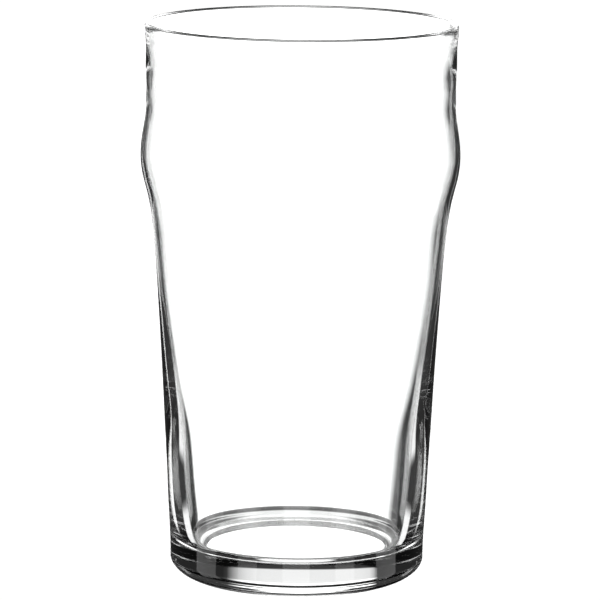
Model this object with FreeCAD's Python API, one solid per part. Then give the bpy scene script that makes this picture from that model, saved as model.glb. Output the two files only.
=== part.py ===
import FreeCAD, Part
import math
import os

# A pint glass: one piece of clear pressed glass with a bulge under its rim.
# Millimetres, +Z up.  The origin is the centre of the foot, on the plane the glass stands on.
# The glass is one half outline in the XZ plane, turned once about the Z axis.

# Driving dimensions
HEIGHT = 150.0             # foot plane to the crown of the lip
FOOT_RADIUS = 34.4         # outside of the wall where it leaves the heel
HEEL_RUN = 7.6             # rounded heel, measured inwards along the foot plane
HEEL_RISE = 5.5            # rounded heel, measured up the wall
RECESS_RADIUS = 26.2       # edge of the hollow underside, at the ring the glass stands on
RECESS_DEPTH = 2.0         # flat roof of that hollow above the foot plane
RECESS_RUN = 0.9           # width of the rounded step between the roof and the ring
FLOOR_HEIGHT = 9.2         # flat inside floor above the foot plane
FLOOR_CORNER = 3.2         # rounding between the inside floor and the wall
CORNER_RADIUS = 29.1       # furthest reach of that rounding from the axis
CORNER_LEAN = 9.0          # degrees from the vertical where the inside wall meets the rounding
LIP_RADIUS = 41.1          # circle that the crown of the lip runs along
LIP_HALF_WIDTH = 0.76      # half of the thickness of the lip bead
LIP_DEPTH = 1.15           # crown down to the widest line of the lip bead

# (height, outside radius, wall thickness) where the wall changes its curve
WALL = (
    (20.0, 35.05, 4.95),   # thick lower wall
    (30.0, 35.5, 4.55),
    (38.0, 35.95, 4.2),
    (50.0, 36.55, 3.3),    # the wall thins quickly here
    (61.0, 37.15, 2.6),
    (76.0, 38.05, 1.95),   # long, nearly straight taper
    (91.0, 39.15, 1.7),    # start of the shoulder
    (103.0, 40.9, 1.6),
    (109.0, 42.3, 1.4),
    (114.5, 42.8, 1.2),    # widest line of the bulge
    (119.0, 42.45, 1.1),
    (124.0, 41.7, 1.0),
    (128.0, 41.4, 1.0),
    (133.0, 41.35, 0.95),  # neck
    (139.0, 41.5, 0.95),
    (145.5, 41.6, 0.95),   # thin wall just under the lip bead
)


def point(radius, height):
    """A point of the half outline."""
    return FreeCAD.Vector(radius, 0.0, height)


UP = point(0.0, 1.0)
DOWN = point(0.0, -1.0)


def quarter(centre, first, second):
    """A quarter of an ellipse between two points that lie on the ellipse's own axes."""
    if (first - centre).Length < (second - centre).Length:
        first, second = second, first
    return Part.Ellipse(first, second, centre).toShape(0.0, math.pi / 2.0)


def smooth_edge(points, start_direction, end_direction):
    """A smooth edge through the points that leaves and arrives in the given directions."""
    curve = Part.BSplineCurve()
    curve.interpolate(Points=points, InitialTangent=start_direction, FinalTangent=end_direction)
    return curve.toShape()


def foot_edges():
    """The flat hollow underside, its rounded step, the ring the glass stands on and the heel."""
    roof_middle = point(0.0, RECESS_DEPTH)
    roof_edge = point(RECESS_RADIUS - RECESS_RUN, RECESS_DEPTH)
    step_middle = point(RECESS_RADIUS - RECESS_RUN / 2.0, RECESS_DEPTH / 2.0)
    ring_inside = point(RECESS_RADIUS, 0.0)
    ring_outside = point(FOOT_RADIUS - HEEL_RUN, 0.0)
    heel_centre = point(ring_outside.x, HEEL_RISE)
    heel_top = point(FOOT_RADIUS, HEEL_RISE)
    return [
        Part.makeLine(roof_middle, roof_edge),
        quarter(point(roof_edge.x, step_middle.z), roof_edge, step_middle),
        quarter(point(ring_inside.x, step_middle.z), step_middle, ring_inside),
        Part.makeLine(ring_inside, ring_outside),
        quarter(heel_centre, ring_outside, heel_top),
    ]


def outside_edge():
    """The outside of the wall, from the heel up to the lip bead."""
    heel_top = point(FOOT_RADIUS, HEEL_RISE)
    lip_outside = point(LIP_RADIUS + LIP_HALF_WIDTH, HEIGHT - LIP_DEPTH)
    stations = [point(radius, height) for height, radius, thickness in WALL]
    return smooth_edge([heel_top] + stations + [lip_outside], UP, UP)


def lip_edges():
    """The rounded lip bead, over the crown from the outside to the inside."""
    centre = point(LIP_RADIUS, HEIGHT - LIP_DEPTH)
    crown = point(LIP_RADIUS, HEIGHT)
    lip_outside = point(LIP_RADIUS + LIP_HALF_WIDTH, centre.z)
    lip_inside = point(LIP_RADIUS - LIP_HALF_WIDTH, centre.z)
    return [quarter(centre, lip_outside, crown), quarter(centre, crown, lip_inside)]


def on_corner(degrees):
    """The point of the floor corner at this angle below the horizontal."""
    angle = math.radians(degrees)
    radius = CORNER_RADIUS - FLOOR_CORNER + FLOOR_CORNER * math.cos(angle)
    return point(radius, FLOOR_HEIGHT + FLOOR_CORNER - FLOOR_CORNER * math.sin(angle))


def inside_edges():
    """The inside of the wall, the floor corner and the flat inside floor."""
    lip_inside = point(LIP_RADIUS - LIP_HALF_WIDTH, HEIGHT - LIP_DEPTH)
    stations = [point(radius - thickness, height) for height, radius, thickness in reversed(WALL)]
    corner_top = on_corner(CORNER_LEAN)
    corner_foot = on_corner(90.0)
    lean = math.radians(CORNER_LEAN)
    down_wall = point(-math.sin(lean), -math.cos(lean))
    return [
        smooth_edge([lip_inside] + stations + [corner_top], DOWN, down_wall),
        Part.Arc(corner_top, on_corner(50.0), corner_foot).toShape(),
        Part.makeLine(corner_foot, point(0.0, FLOOR_HEIGHT)),
    ]


def glass():
    """The whole glass, turned from its half outline."""
    axis_edge = Part.makeLine(point(0.0, FLOOR_HEIGHT), point(0.0, RECESS_DEPTH))
    edges = foot_edges() + [outside_edge()] + lip_edges() + inside_edges() + [axis_edge]
    outline = Part.Face(Part.Wire(edges))
    return outline.revolve(point(0.0, 0.0), UP, 360.0)


os.makedirs("parts", exist_ok=True)
solid = glass().Solids[0]
solid.exportStep("parts/glass.step")
print("valid", solid.isValid(), "glass volume", round(solid.Volume / 1000.0, 1), "ml", solid.BoundBox)
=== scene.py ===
import math

import bpy
import numpy as np
from mathutils import Matrix, Vector


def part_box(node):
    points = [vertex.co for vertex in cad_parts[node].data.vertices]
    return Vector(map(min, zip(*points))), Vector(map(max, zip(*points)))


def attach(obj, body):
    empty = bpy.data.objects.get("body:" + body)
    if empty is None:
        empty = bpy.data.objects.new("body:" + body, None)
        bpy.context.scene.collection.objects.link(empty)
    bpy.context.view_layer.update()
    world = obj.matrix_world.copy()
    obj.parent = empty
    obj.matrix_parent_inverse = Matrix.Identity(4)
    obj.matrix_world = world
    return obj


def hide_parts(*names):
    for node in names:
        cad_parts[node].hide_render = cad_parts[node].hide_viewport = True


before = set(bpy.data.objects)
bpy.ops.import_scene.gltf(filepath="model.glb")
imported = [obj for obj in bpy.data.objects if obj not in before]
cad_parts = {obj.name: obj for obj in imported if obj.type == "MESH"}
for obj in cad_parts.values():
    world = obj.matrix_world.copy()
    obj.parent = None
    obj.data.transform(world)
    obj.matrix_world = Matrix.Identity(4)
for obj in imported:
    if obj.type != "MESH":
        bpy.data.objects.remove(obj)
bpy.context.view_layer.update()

# The looks of a clear pint glass: the glass itself, a white studio and the camera.
# The outline is in the design millimetres of the CAD part and is scaled to the CAD node's box.

# Outline of the glass, in design millimetres
HEIGHT = 150.0
FOOT_RADIUS = 34.4
HEEL_RUN = 7.6
HEEL_RISE = 5.5
RECESS_RADIUS = 26.2
RECESS_DEPTH = 2.0
RECESS_RUN = 0.9
FLOOR_HEIGHT = 9.2
FLOOR_CORNER = 3.2
CORNER_RADIUS = 29.1
CORNER_LEAN = 9.0
LIP_RADIUS = 41.1
LIP_HALF_WIDTH = 0.76
LIP_DEPTH = 1.15
WALL = (                   # height, outside radius, wall thickness
    (20.0, 35.05, 4.95),
    (30.0, 35.5, 4.55),
    (38.0, 35.95, 4.2),
    (50.0, 36.55, 3.3),
    (61.0, 37.15, 2.6),
    (76.0, 38.05, 1.95),
    (91.0, 39.15, 1.7),
    (103.0, 40.9, 1.6),
    (109.0, 42.3, 1.4),
    (114.5, 42.8, 1.2),
    (119.0, 42.45, 1.1),
    (124.0, 41.7, 1.0),
    (128.0, 41.4, 1.0),
    (133.0, 41.35, 0.95),
    (139.0, 41.5, 0.95),
    (145.5, 41.6, 0.95),
)
SEGMENTS = 256             # facets round the glass
WALL_STEP = 1.2            # rough spacing of the rings up the wall, mm

# Material of the glass; lengths in metres
GLASS_IOR = 1.52
FAINT_TINT = (0.985, 0.997, 0.992, 1)
NO_TINT = (1, 1, 1, 1)
TINT_SCALE = 45.0
GRIT_SCALE = 2500.0
WAVE_SCALE = 70.0
WAVE_STRENGTH = 0.05
WAVE_HEIGHT = 0.0002
WORN_HEIGHTS = ((0.0, 1.0), (0.00002, 0.8), (0.00008, 0.0), (0.001, 0.0))    # only the lowest 0.08 mm
GRIT_ROUGHNESS = ((0.0, 0.15), (0.45, 0.2), (0.7, 0.55), (1.0, 0.6))

# Studio
WHITE = 2.2                # strength of the main softbox
BACKDROP_WHITE = 1.05
DOME_RADIUS = 4.0          # metres
FLOOR_GAP = 1e-5           # floor below the foot, metres
LIGHT_BOUNCES = 24         # enough for light that is caught in the thick foot

# Camera: metres and radians
CAMERA_PLACE = (0.0, -1.173029, 0.280867)
CAMERA_YAW = 0.00026
CAMERA_PITCH = 0.1737113   # downwards
CAMERA_ROLL = 0.0104929
SENSOR_WIDTH = 36.0        # mm
FOCAL_LENGTH = 266.16      # mm
CLIP_END = 50.0


# ---------------------------------------------------------------- shape

def smooth(points, start_direction, end_direction):
    """A smooth curve through the points, as (radius, height) rows."""
    knots = np.array(points, float)
    lengths = np.linalg.norm(np.diff(knots, axis=0), axis=1)
    count = len(knots)
    matrix = np.eye(count)
    wanted = np.zeros_like(knots)
    wanted[0] = start_direction
    wanted[-1] = end_direction
    for i in range(1, count - 1):
        before, after = lengths[i - 1], lengths[i]
        matrix[i, i - 1:i + 2] = 1 / before, 2 / before + 2 / after, 1 / after
        wanted[i] = 3 * (knots[i] - knots[i - 1]) / before**2
        wanted[i] += 3 * (knots[i + 1] - knots[i]) / after**2
    slopes = np.linalg.solve(matrix, wanted)
    rows = []
    for i in range(count - 1):
        steps = max(2, int(lengths[i] / WALL_STEP))
        t = np.linspace(0, 1, steps, endpoint=False)[:, None]
        rows.append(
            (2 * t**3 - 3 * t**2 + 1) * knots[i]
            + (t**3 - 2 * t**2 + t) * lengths[i] * slopes[i]
            + (3 * t**2 - 2 * t**3) * knots[i + 1]
            + (t**3 - t**2) * lengths[i] * slopes[i + 1]
        )
    return np.concatenate(rows + [knots[-1:]])


def arc(centre, run, rise, start, end, count):
    """Part of an ellipse, from one angle to another in degrees, as (radius, height) rows."""
    angle = np.radians(np.linspace(start, end, count))
    return np.stack([centre[0] + run * np.cos(angle), centre[1] + rise * np.sin(angle)], axis=1)


def flat(radius, height):
    """A flat disc's radius in a few steps, from the axis outwards."""
    return np.array([(radius * share, height) for share in (0.0, 0.2, 0.4, 0.6, 0.8, 0.95)])


def outline():
    """The half outline, from the axis under the foot, over the lip and down to the inside floor."""
    roof_edge = RECESS_RADIUS - RECESS_RUN
    half_run, half_depth = RECESS_RUN / 2, RECESS_DEPTH / 2
    lip = (LIP_RADIUS, HEIGHT - LIP_DEPTH)
    outside = [(radius, height) for height, radius, thickness in WALL]
    inside = [(radius - thickness, height) for height, radius, thickness in reversed(WALL)]
    corner_centre = (CORNER_RADIUS - FLOOR_CORNER, FLOOR_HEIGHT + FLOOR_CORNER)
    corner = arc(corner_centre, FLOOR_CORNER, FLOOR_CORNER, -CORNER_LEAN, -90, 20)
    lean = math.radians(CORNER_LEAN)
    heel = arc((FOOT_RADIUS - HEEL_RUN, HEEL_RISE), HEEL_RUN, HEEL_RISE, -90, 0, 28)
    outer_wall = smooth([heel[-1], *outside, (LIP_RADIUS + LIP_HALF_WIDTH, lip[1])], (0, 1), (0, 1))
    inner_wall = smooth(
        [(LIP_RADIUS - LIP_HALF_WIDTH, lip[1]), *inside, corner[0]],
        (0, -1),
        (-math.sin(lean), -math.cos(lean)),
    )
    return np.concatenate([
        flat(roof_edge, RECESS_DEPTH),
        arc((roof_edge, half_depth), half_run, half_depth, 90, 0, 9),
        arc((RECESS_RADIUS, half_depth), half_run, half_depth, 180, 270, 9)[1:],
        heel,
        outer_wall[1:],
        arc(lip, LIP_HALF_WIDTH, LIP_DEPTH, 0, 180, 26)[1:],
        inner_wall[1:],
        corner[1:],
        flat(corner_centre[0], FLOOR_HEIGHT)[::-1],
    ])


def turned(name, rows, scale):
    """A mesh object of the rows turned once round the Z axis."""
    vertices, faces, rings = [], [], []
    for radius, height in rows:
        start = len(vertices)
        count = 1 if radius < 1e-6 else SEGMENTS
        for k in range(count):
            angle = 2 * math.pi * k / SEGMENTS
            across = radius * scale
            vertices.append((across * math.cos(angle), across * math.sin(angle), height * scale))
        rings.append(range(start, start + count))
    for first, second in zip(rings, rings[1:]):
        for k in range(SEGMENTS):
            after = (k + 1) % SEGMENTS
            if len(first) == 1:
                faces.append((first[0], second[after], second[k]))
            elif len(second) == 1:
                faces.append((first[k], first[after], second[0]))
            else:
                faces.append((first[k], first[after], second[after], second[k]))
    mesh = bpy.data.meshes.new(name)
    mesh.from_pydata(vertices, [], faces)
    mesh.polygons.foreach_set("use_smooth", [True] * len(faces))
    thing = bpy.data.objects.new(name, mesh)
    bpy.context.scene.collection.objects.link(thing)
    return thing


# ---------------------------------------------------------------- nodes

class Tree:
    """A node tree that is built by calls."""

    def __init__(self, nodes, links):
        self.nodes = nodes
        self.links = links

    def add(self, kind, inputs, **settings):
        """A node with these settings, and inputs that are numbers or other nodes' outputs."""
        node = self.nodes.new("ShaderNode" + kind)
        for name, value in settings.items():
            setattr(node, name, value)
        for key, value in inputs.items():
            if isinstance(value, bpy.types.NodeSocket):
                self.links.new(value, node.inputs[key])
            else:
                node.inputs[key].default_value = value
        return node.outputs[0]

    def math(self, operation, *values):
        """One sum on numbers or outputs."""
        return self.add("Math", dict(enumerate(values)), operation=operation)

    def curve(self, value, stops):
        """A grey level read from (place, level) stops; the places go up."""
        low, high = stops[0][0], stops[-1][0]
        share = self.add("MapRange", {"Value": value, "From Min": low, "From Max": high})
        level = self.nodes.new("ShaderNodeValToRGB")
        self.links.new(share, level.inputs[0])
        elements = level.color_ramp.elements
        elements.remove(elements[1])
        for i, (place, grey) in enumerate(stops):
            position = (place - low) / (high - low)
            element = elements[0] if i == 0 else elements.new(position)
            element.position = position
            element.color = (grey, grey, grey, 1)
        return level.outputs[0]


def material(name):
    """A new node material, its tree and its main shader."""
    made = bpy.data.materials.new(name)
    made.use_nodes = True
    nodes = made.node_tree.nodes
    return made, Tree(nodes, made.node_tree.links), nodes["Principled BSDF"]


def glass_material():
    """Clear soda-lime glass: a trace of green, faint press waves, and a worn ring under the foot."""
    made, tree, shader = material("glass")
    place = tree.nodes.new("ShaderNodeTexCoord").outputs["Object"]
    clouds = tree.add("TexNoise", {"Vector": place, "Scale": TINT_SCALE, "Detail": 2.0})
    tint = tree.nodes.new("ShaderNodeValToRGB")
    tree.links.new(clouds, tint.inputs[0])
    tint.color_ramp.elements[0].color = FAINT_TINT
    tint.color_ramp.elements[1].color = NO_TINT
    tree.links.new(tint.outputs[0], shader.inputs["Base Color"])
    height = tree.add("SeparateXYZ", {"Vector": place}).node.outputs["Z"]
    grit = tree.add("TexNoise", {"Vector": place, "Scale": GRIT_SCALE, "Detail": 3.0})
    ring = tree.curve(height, WORN_HEIGHTS)
    wear = tree.math("MULTIPLY", ring, tree.curve(grit, GRIT_ROUGHNESS))
    tree.links.new(wear, shader.inputs["Roughness"])
    waves = tree.add("TexNoise", {"Vector": place, "Scale": WAVE_SCALE, "Detail": 1.0})
    bump = tree.add("Bump", {"Height": waves, "Strength": WAVE_STRENGTH, "Distance": WAVE_HEIGHT})
    tree.links.new(bump, shader.inputs["Normal"])
    shader.inputs["Transmission Weight"].default_value = 1.0
    shader.inputs["IOR"].default_value = GLASS_IOR
    return made


def white_material():
    """Evenly lit white paper for the floor and the backdrop."""
    made, tree, shader = material("paper")
    shader.inputs["Base Color"].default_value = (0, 0, 0, 1)
    shader.inputs["Specular IOR Level"].default_value = 0.0
    shader.inputs["Emission Color"].default_value = (1, 1, 1, 1)
    shader.inputs["Emission Strength"].default_value = BACKDROP_WHITE
    return made


# ---------------------------------------------------------------- studio

# Angles are in degrees.  Azimuth 0 is +Y and 90 is +X, and rise is above the horizon.
# Levels are (angle, grey level) pairs.
# The main softbox is behind the glass, with dark cards on both sides of it.
# Its side levels are for a width of 1, and WINDOW_WIDTHS gives the width at each rise.
# Its shape suits this scene's own camera.
WINDOW_SIDE_LEVELS = (
    (-90, .02), (-10.4, .02), (-9.6, .9), (-7.5, 1), (4, 1),
    (6, .8), (7.3, .45), (8.3, .05), (9, .02), (90, .02),
)
WINDOW_WIDTHS = (
    (-90, 1.75), (-12.3, 1.75), (-9.5, 1.35), (-7, 1), (-4, 1.2), (4, 1.2), (7, 2.8), (90, 3.2),
)
WIDEST = 4.0               # brings the widths below 1, because a ramp holds no more
WINDOW_RISE_LEVELS = (
    (-90, .02), (-64, .02), (-58, .3), (-52, .5), (-44, .5), (-41, .2), (-38, .065), (-27, .1),
    (-24, .6), (-22, 1), (10, 1), (12.5, .42), (16, .42), (18, .2), (20, .02), (90, .02),
)
# Small softboxes stand at the other multiples of 45 degrees, and it stays dark between them:
# azimuth, half width, lowest and highest rise.
SOFTBOXES = (
    (-135, 10, -34, -6),
    (-90, 13, -34, 8),
    (-45, 7, -34, -20),
    (45, 7, -34, -20),
    (90, 13, -34, 8),
    (135, 10, -34, -6),
    (180, 13, -34, 8),
)
GROUND_LEVELS = ((-90, 1), (-72, 1), (-68, 0), (90, 0))    # lit from straight below
SOFTBOX_LEVEL = 0.55       # of the small softboxes and the ground, against the main one
EDGE = 1.5                 # width of a small softbox's soft edge


def softbox(tree, azimuth, rise, centre, half_width, lowest, highest):
    """The level of one small softbox.  The fold of the modulo is half a turn away from it."""
    turn = tree.math("FLOORED_MODULO", tree.math("ADD", azimuth, 540.0 - centre), 360.0)
    aside = tree.math("ABSOLUTE", tree.math("SUBTRACT", turn, 180.0))
    across = tree.curve(aside, [(0, 1), (half_width - EDGE, 1), (half_width, 0), (180, 0)])
    upright = tree.curve(
        rise, [(-90, 0), (lowest, 0), (lowest + EDGE, 1), (highest - EDGE, 1), (highest, 0), (90, 0)]
    )
    return tree.math("MULTIPLY", tree.math("MULTIPLY", across, upright), SOFTBOX_LEVEL)


def light_studio():
    """The world: softboxes and dark cards as a pattern over the directions."""
    world = bpy.data.worlds.new("studio")
    bpy.context.scene.world = world
    world.use_nodes = True
    world.node_tree.nodes.clear()
    tree = Tree(world.node_tree.nodes, world.node_tree.links)
    direction = tree.nodes.new("ShaderNodeTexCoord").outputs["Generated"]
    x, y, z = tree.add("SeparateXYZ", {"Vector": direction}).node.outputs
    degrees = 180 / math.pi
    azimuth = tree.math("MULTIPLY", tree.math("ARCTAN2", x, y), degrees)
    rise = tree.math("MULTIPLY", tree.math("ARCSINE", z), degrees)
    widths = [(angle, level / WIDEST) for angle, level in WINDOW_WIDTHS]
    width = tree.math("MULTIPLY", tree.curve(rise, widths), WIDEST)
    light = tree.math(
        "MULTIPLY",
        tree.curve(tree.math("DIVIDE", azimuth, width), WINDOW_SIDE_LEVELS),
        tree.curve(rise, WINDOW_RISE_LEVELS),
    )
    for place in SOFTBOXES:
        light = tree.math("MAXIMUM", light, softbox(tree, azimuth, rise, *place))
    ground = tree.math("MULTIPLY", tree.curve(rise, GROUND_LEVELS), SOFTBOX_LEVEL)
    light = tree.math("MAXIMUM", light, ground)
    background = tree.add("Background", {"Color": light, "Strength": WHITE})
    output = tree.nodes.new("ShaderNodeOutputWorld")
    tree.links.new(background, output.inputs["Surface"])


def seen_by_camera_only(thing, paper):
    """Stage paper that the camera sees, and that the glass doesn't bend or mirror."""
    thing.data.materials.append(paper)
    thing.visible_diffuse = False
    thing.visible_glossy = False
    thing.visible_transmission = False
    thing.visible_volume_scatter = False
    thing.visible_shadow = False


def make_stage(foot):
    """A white floor just under the foot, and a white dome round everything."""
    paper = white_material()
    bpy.ops.mesh.primitive_plane_add(size=2 * DOME_RADIUS, location=(0, 0, foot - FLOOR_GAP))
    floor = bpy.context.object
    floor.name = "floor"
    seen_by_camera_only(floor, paper)
    bpy.ops.mesh.primitive_uv_sphere_add(segments=48, ring_count=24, radius=DOME_RADIUS)
    dome = bpy.context.object
    dome.name = "backdrop"
    seen_by_camera_only(dome, paper)


def make_camera():
    """The camera, a long lens a little above the rim."""
    data = bpy.data.cameras.new("camera")
    camera = bpy.data.objects.new("camera", data)
    bpy.context.scene.collection.objects.link(camera)
    bpy.context.scene.camera = camera
    data.sensor_width = SENSOR_WIDTH
    data.lens = FOCAL_LENGTH
    data.clip_end = CLIP_END
    camera.location = CAMERA_PLACE
    level = math.cos(CAMERA_PITCH)
    ahead = Vector((math.sin(CAMERA_YAW) * level, math.cos(CAMERA_YAW) * level, -math.sin(CAMERA_PITCH)))
    roll = Matrix.Rotation(CAMERA_ROLL, 4, "Z").to_quaternion()
    camera.rotation_mode = "QUATERNION"
    camera.rotation_quaternion = ahead.to_track_quat("-Z", "Y") @ roll


lowest_corner, highest_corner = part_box("glass")
metres_per_mm = (highest_corner.z - lowest_corner.z) / HEIGHT
glass = turned("clear_glass", outline(), metres_per_mm)
glass.data.materials.append(glass_material())
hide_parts("glass")
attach(glass, "root")

light_studio()
make_stage(lowest_corner.z)
make_camera()

scene = bpy.context.scene
scene.view_settings.view_transform = "Standard"
scene.cycles.max_bounces = LIGHT_BOUNCES
scene.cycles.transmission_bounces = LIGHT_BOUNCES
scene.cycles.glossy_bounces = LIGHT_BOUNCES
